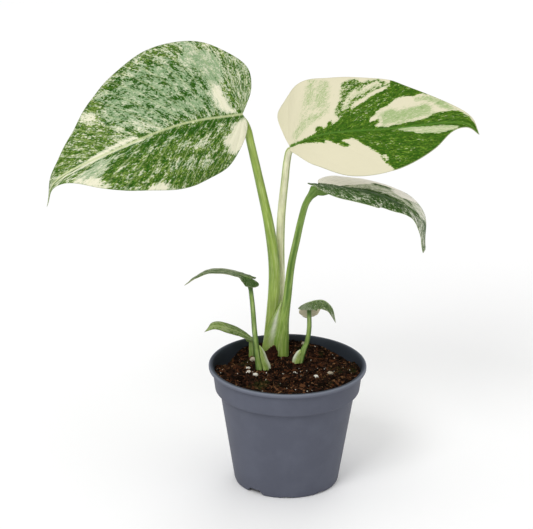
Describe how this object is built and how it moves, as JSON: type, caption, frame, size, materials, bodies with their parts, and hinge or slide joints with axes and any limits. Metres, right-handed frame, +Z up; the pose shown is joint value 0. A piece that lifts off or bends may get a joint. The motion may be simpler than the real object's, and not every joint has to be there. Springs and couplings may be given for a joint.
{
  "type": "potted creme brulee monstera",
  "caption": "Young variegated aroid in a round plastic nursery pot: tall leaf stalks rise from dark potting mix and carry broad heart-shaped leaves mottled green and cream.",
  "frame": {"origin": "middle of the pot's underside, on the surface that the pot stands on", "axes": "+Z up along the pot's axis, +X towards the side where the cream leaf points, -Y towards the viewer of the picture"},
  "size_m": [0.3206, 0.1266, 0.3332],
  "materials": {
    "pot_plastic": "satin, fine moulded grain",
    "potting_mix": "rough, damp bark and coir",
    "stem_and_roots": "rough",
    "green_stalk": "satin, waxy skin",
    "cream_stalk": "satin, waxy skin",
    "green_leaf": "satin, waxy skin",
    "cream_leaf": "satin, waxy skin",
    "bark": "rough",
    "perlite": "rough, porous"
  },
  "bodies": {
    "root": {"pot": "pot_plastic", "stem_and_roots": "stem_and_roots", "left_stalk": "green_stalk", "cream_stalk": "cream_stalk", "right_stalk": "green_stalk", "small_left_stalk": "green_stalk", "young_stalk": "green_stalk", "small_right_stalk": "green_stalk", "left_blade": "green_leaf", "cream_blade": "cream_leaf", "right_blade": "green_leaf", "small_left_blade": "green_leaf", "young_blade": "green_leaf", "small_right_blade": "green_leaf", "bark_chunk": "bark", "perlite_1": "perlite", "perlite_2": "perlite", "perlite_3": "perlite", "perlite_4": "perlite", "perlite_5": "perlite", "perlite_6": "perlite", "perlite_7": "perlite", "perlite_8": "perlite", "potting_mix": "potting_mix"}
  },
  "joints": []
}
